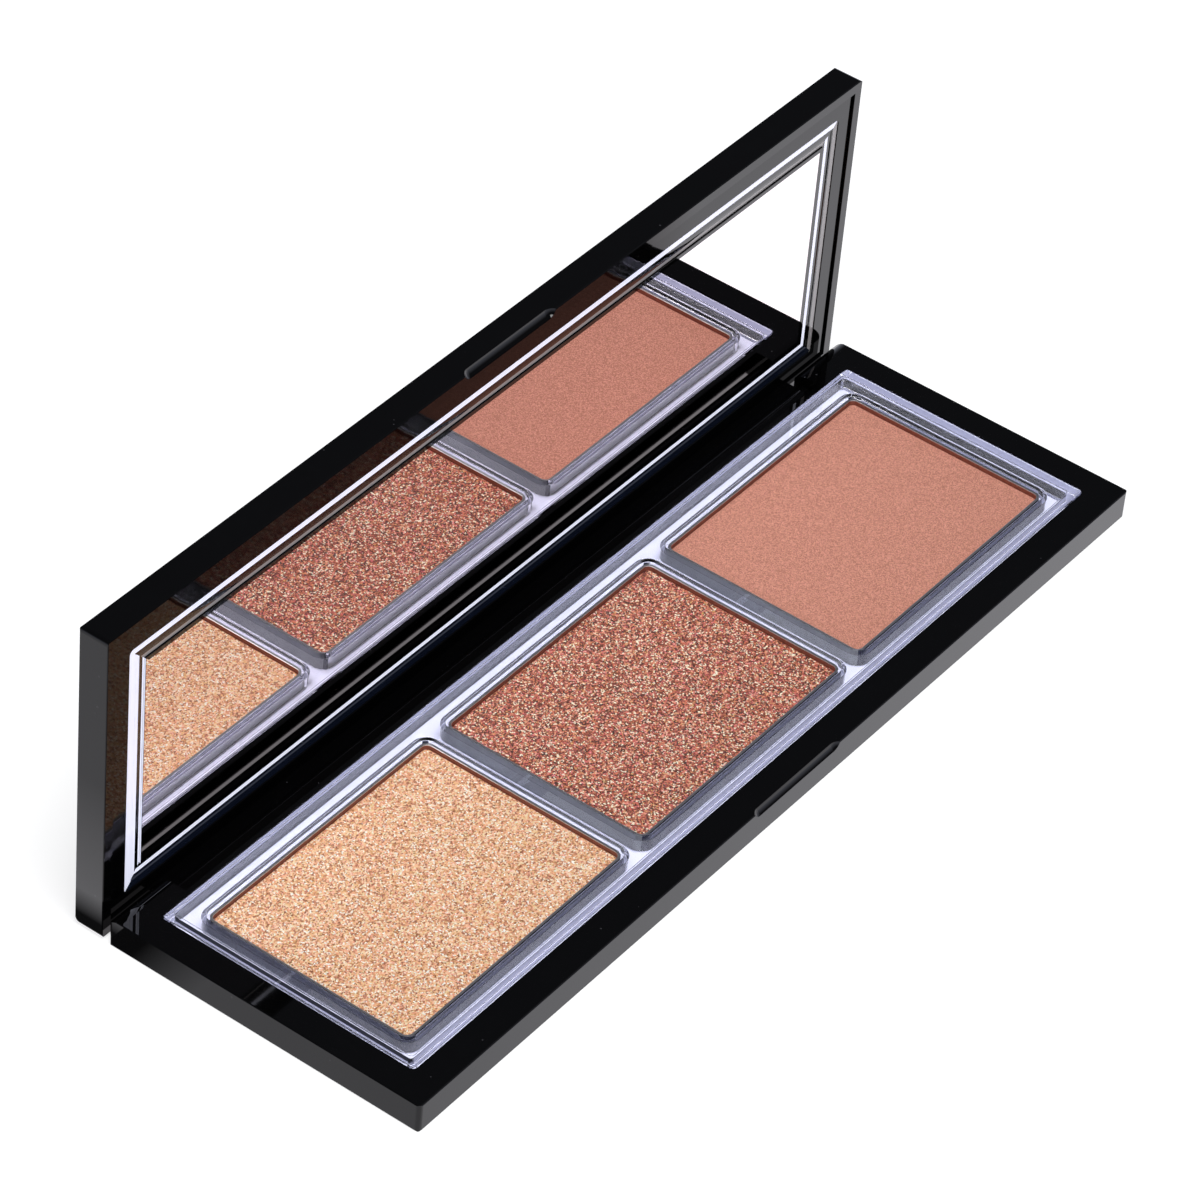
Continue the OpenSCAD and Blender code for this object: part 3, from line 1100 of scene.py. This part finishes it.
@dataclass(frozen=True)
class Strip:
    """One strip of the mirror's surround, with its painted tone at each side."""

    width: float
    rise: float
    left: Tone
    right: Tone
    top: Tone
    bottom: Tone

    def index(self, side: Side) -> int:
        """Returns the strip's material index at a side."""
        return list(Tone).index(getattr(self, side.value))


class MirrorPart(IntEnum):
    """Material indices of the mirror."""

    SILVER = 0
    BORDER = 1
    GROUND_EDGE = 2


@dataclass
class MirrorLid:
    """The lid with its inner frame, mirror, clear surround, tape and magnets.

    The surround's strips run from its outer edge to the mirror; their tones, changing from side to
    side, are painted reflection and painted glow.
    """

    shop: Workshop
    frame_edge: float = 0.08 * MM
    mirror_border: float = 0.45 * MM
    mirror_edge: float = 0.1 * MM
    # painted reflection and painted glow: each strip's tone changes from side to side
    strips: tuple[Strip, ...] = (
        Strip(0.80 * MM, 0.0, Tone.LIT, Tone.DIM, Tone.LIT, Tone.NAVY),
        Strip(0.25 * MM, 0.0, Tone.LIT, Tone.BLACK, Tone.BLACK, Tone.NAVY),
        Strip(0.15 * MM, -0.10 * MM, Tone.DIM, Tone.BLACK, Tone.BLACK, Tone.NAVY),
        Strip(0.45 * MM, 0.0, Tone.LIT, Tone.BLACK, Tone.BLACK, Tone.NAVY),
        Strip(0.15 * MM, -0.05 * MM, Tone.LIT, Tone.LIT, Tone.BLACK, Tone.LIT),
        Strip(0.30 * MM, -0.05 * MM, Tone.BLACK, Tone.LIT, Tone.BLACK, Tone.LIT),
        Strip(0.30 * MM, 0.0, Tone.BLACK, Tone.BLACK, Tone.DIM, Tone.BLACK),
        Strip(0.20 * MM, 0.0, Tone.LIT, Tone.BLACK, Tone.DIM, Tone.BLACK))

    def build(self) -> None:
        """Dresses the lid's solids and builds its frame, mirror and surround."""
        for node, finish in (("lid_shell", LID_BLACK), ("mirror_tape", GLUE),
                             ("lid_magnets", MAGNET_GREY)):
            self.shop.dress(node, finish)
        self.shop.stand_in("lid_inner_frame", "moulded_frame",
                           self.shop.softened("lid_inner_frame", self.frame_edge),
                           [FRAME_BLACK], Body.LID, "frame_gloss_black")
        self._mirror()
        self._surround()

    @staticmethod
    def _slab(node: str) -> tuple[Slab, float]:
        """Starts a slab with the outline of a solid that faces the front, and gives its depth."""
        low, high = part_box(node)
        return Slab(high.x - low.x, high.z - low.z), high.y - low.y

    @staticmethod
    def _place(slab: Slab, node: str) -> None:
        """Turns a slab to face the front and moves it to where a solid stands.

        Args:
            slab: the slab.
            node: the solid's name.
        """
        low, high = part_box(node)
        back = Vector(((low.x + high.x) / 2, high.y, (low.z + high.z) / 2))
        facing_front = Matrix(((1.0, 0.0, 0.0), (0.0, 0.0, -1.0), (0.0, 1.0, 0.0)))
        place = Matrix.Translation(back) @ facing_front.to_4x4()
        bmesh.ops.transform(slab.bm, matrix=place, verts=slab.bm.verts)

    def _mirror(self) -> None:
        """Builds the mirror: silver face, black border, and a painted glow on its left edge."""
        slab, depth = self._slab("mirror")
        for wall in slab.step(depth, MirrorPart.BORDER):
            # painted glow: the left edge takes the glowing edge finish
            if slab.side_of(wall) is Side.LEFT:
                wall.material_index = MirrorPart.GROUND_EDGE
        slab.inset(self.mirror_edge, index=MirrorPart.BORDER)
        for strip in slab.inset(self.mirror_border, index=MirrorPart.BORDER):
            if slab.side_of(strip) is Side.LEFT:
                strip.material_index = MirrorPart.SILVER
        slab.top.material_index = MirrorPart.SILVER
        self._place(slab, "mirror")
        self.shop.stand_in("mirror", "silvered_mirror", slab.bm,
                           [MIRROR_SILVER, STRIP_BLACK, PAINTED_GLOW_EDGE], Body.LID, "mirror_glass")

    def _surround(self) -> None:
        """Builds the stepped clear surround strip by strip in painted reflection and glow, and opens
        it for the mirror.
        """
        slab, depth = self._slab("mirror_surround")
        slab.step(depth)
        for strip in self.strips:
            for face in slab.inset(strip.width, strip.rise):
                face.material_index = strip.index(slab.side_of(face))
        slab.step(-depth - sum(strip.rise for strip in self.strips))
        slab.open_below()
        self._place(slab, "mirror_surround")
        self.shop.stand_in("mirror_surround", "stepped_surround", slab.bm,
                           [tone.value for tone in Tone], Body.LID, "clear_plastic")


# ------------------------------------------------------------------ the studio


@dataclass(frozen=True)
class Softbox:
    """A square lamp that faces the palette."""

    name: str
    at: Triple
    size: float
    power: float

    def hang(self) -> None:
        """Adds the lamp to the scene."""
        data = bpy.data.lights.new(self.name, "AREA")
        data.shape = "SQUARE"
        data.size = self.size
        data.energy = self.power
        lamp = bpy.data.objects.new(self.name, data)
        bpy.context.scene.collection.objects.link(lamp)
        at = Vector(self.at)
        lamp.matrix_world = Matrix.Translation(at) @ at.to_track_quat("Z", "Y").to_matrix().to_4x4()


@dataclass(frozen=True)
class Room:
    """Surroundings that are white to the camera, and dimmer overhead than at the sides."""

    rise: Span = (0.1, 0.5)
    levels: Span = (0.8, 0.06)
    tint: Colour = (0.93, 0.97, 1.14)

    def build(self) -> None:
        """Makes the world."""
        world = bpy.data.worlds.new("studio")
        world.use_nodes = True
        world.node_tree.nodes.clear()
        g = Graph(world.node_tree)
        seen = g.seen()
        height = g.add("SeparateXYZ", Vector=g.add("TexCoord").outputs["Generated"]).outputs[2]
        strength = g.math("MAXIMUM", seen, g.remap(height, self.rise, self.levels))
        light = g.add("Background", Color=g.mix(seen, self.tint, WHITE), Strength=strength)
        g.feed(g.add("OutputWorld"), "Surface", light.outputs[0])
        bpy.context.scene.world = world


@dataclass(frozen=True)
class WhiteFloor(Finish):
    """White floor that keeps a soft shadow, is clear from below and shows a painted reflection in
    gloss.

    Its look in gloss is a painted reflection. In front of the palette it brightens from left to
    right.
    Left of the base it is even and falls off into painted shade in the corner by the lid. Left of
    the lid it rises from painted shade at the lid's foot to a painted bright line and falls again
    further out. The rest is bright.
    """

    white: Colour = (0.5, 0.5, 0.5)
    lift: float = 0.65
    gloss_tint: Colour = (0.99, 0.98, 1.03)
    bright: float = 1.5
    front_of: float = -20.0 * MM
    front_span: Span = (-69.5 * MM, 65.0 * MM)
    front_levels: Span = (0.84, 1.3)
    left_of: float = -69.9 * MM
    corner_right_of: float = -73.9 * MM
    corner_span: Span = (10.0 * MM, 19.0 * MM)
    corner_levels: Span = (0.72, 0.03)
    lid_behind: float = 22.5 * MM
    lid_line: float = -74.7 * MM
    lid_foot: float = -71.7 * MM
    lid_far: float = -89.0 * MM
    foot_level: float = 0.05
    line_level: float = 1.48
    far_level: float = 0.8

    def painted_reflection_level(self, g: Graph) -> Socket:
        """Works out how bright the floor looks in gloss, as a painted reflection.

        Args:
            g: the material's graph.

        Returns:
            The brightness.
        """
        along, across = g.along_across()
        front = g.pick(g.math("LESS_THAN", across, self.front_of), self.bright,
                       g.remap(along, self.front_span, self.front_levels))
        corner = g.remap(across, self.corner_span, self.corner_levels)
        by_base = g.pick(g.math("GREATER_THAN", along, self.corner_right_of),
                         self.corner_levels[0], corner)
        foot = g.remap(along, (self.lid_foot, self.lid_line), (self.foot_level, self.line_level))
        far = g.remap(along, (self.lid_line, self.lid_far), (self.line_level, self.far_level))
        left = g.pick(g.math("GREATER_THAN", across, self.lid_behind), by_base,
                      g.math("MINIMUM", foot, far))
        return g.pick(g.math("LESS_THAN", along, self.left_of), front, left)

    def dress(self, blank: Blank) -> None:
        """Sets the white, its lift for the camera, its look in gloss and its clear underside.

        Args:
            blank: the new material; its own shader is left aside.
        """
        g = blank.g
        matt = g.add("BsdfDiffuse", Color=self.white)
        lift = g.add("Emission", Strength=g.math("MULTIPLY", g.seen(), self.lift))
        both = g.numbered("AddShader", {}, matt.outputs[0], lift.outputs[0])
        # painted reflection: glossy rays see this set brightness instead of the lit floor
        sheen = g.add("Emission", Color=self.gloss_tint, Strength=self.painted_reflection_level(g))
        above = g.mix_shaders(g.add("LightPath").outputs["Is Glossy Ray"], both, sheen)
        below = g.add("BsdfTransparent")
        blank.show(g.mix_shaders(g.add("NewGeometry").outputs["Backfacing"], above, below))


@dataclass
class Studio:
    """Floor, surroundings, lamps and camera."""

    shop: Workshop
    eye: Vector = Vector((-0.41900867, -0.27190802, 0.44609540))
    right: Vector = Vector((0.60341701, -0.79421585, 0.07147799))
    up: Vector = Vector((0.48702661, 0.43802845, 0.75560317))
    lens_mm: float = 170.8719
    sensor_mm: float = 36.0
    floor_half: float = 3.0
    floor_z: float = -0.02 * MM
    lamps: tuple[Softbox, ...] = (
        Softbox("overhead softbox", (-0.15, -0.35, 1.0), 0.7, 10.4),
        Softbox("left softbox", (-0.9, 0.1, 0.7), 0.5, 4.0))

    def build(self) -> None:
        """Makes the whole studio."""
        self._camera()
        Room().build()
        self._floor()
        for lamp in self.lamps:
            lamp.hang()
        bpy.context.scene.view_settings.view_transform = "Standard"

    def _camera(self) -> None:
        """Places the camera by its right and up directions."""
        data = bpy.data.cameras.new("camera")
        data.sensor_width = self.sensor_mm
        data.lens = self.lens_mm
        camera = bpy.data.objects.new("camera", data)
        bpy.context.scene.collection.objects.link(camera)
        back = self.right.cross(self.up)
        turn = Matrix((self.right, self.up, back)).transposed().to_4x4()
        camera.matrix_world = Matrix.Translation(self.eye) @ turn
        bpy.context.scene.camera = camera

    def _floor(self) -> None:
        """Lays the white floor a hair below the palette."""
        mesh = bpy.data.meshes.new("floor")
        bm = bmesh.new()
        bmesh.ops.create_grid(bm, x_segments=1, y_segments=1, size=self.floor_half)
        bmesh.ops.translate(bm, vec=(0.0, 0.0, self.floor_z), verts=bm.verts)
        bm.to_mesh(mesh)
        bm.free()
        mesh.materials.append(self.shop.material(WhiteFloor("floor white")))
        floor = bpy.data.objects.new("floor", mesh)
        bpy.context.scene.collection.objects.link(floor)


def main() -> None:
    """Builds the palette and its studio."""
    logging.basicConfig(level=logging.INFO, format="%(name)s: %(message)s")
    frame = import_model()
    shop = Workshop(frame)
    for assembly in (PaletteBase(shop), PanTray(shop), MirrorLid(shop), Studio(shop)):
        assembly.build()


if __name__ == "__main__":
    main()
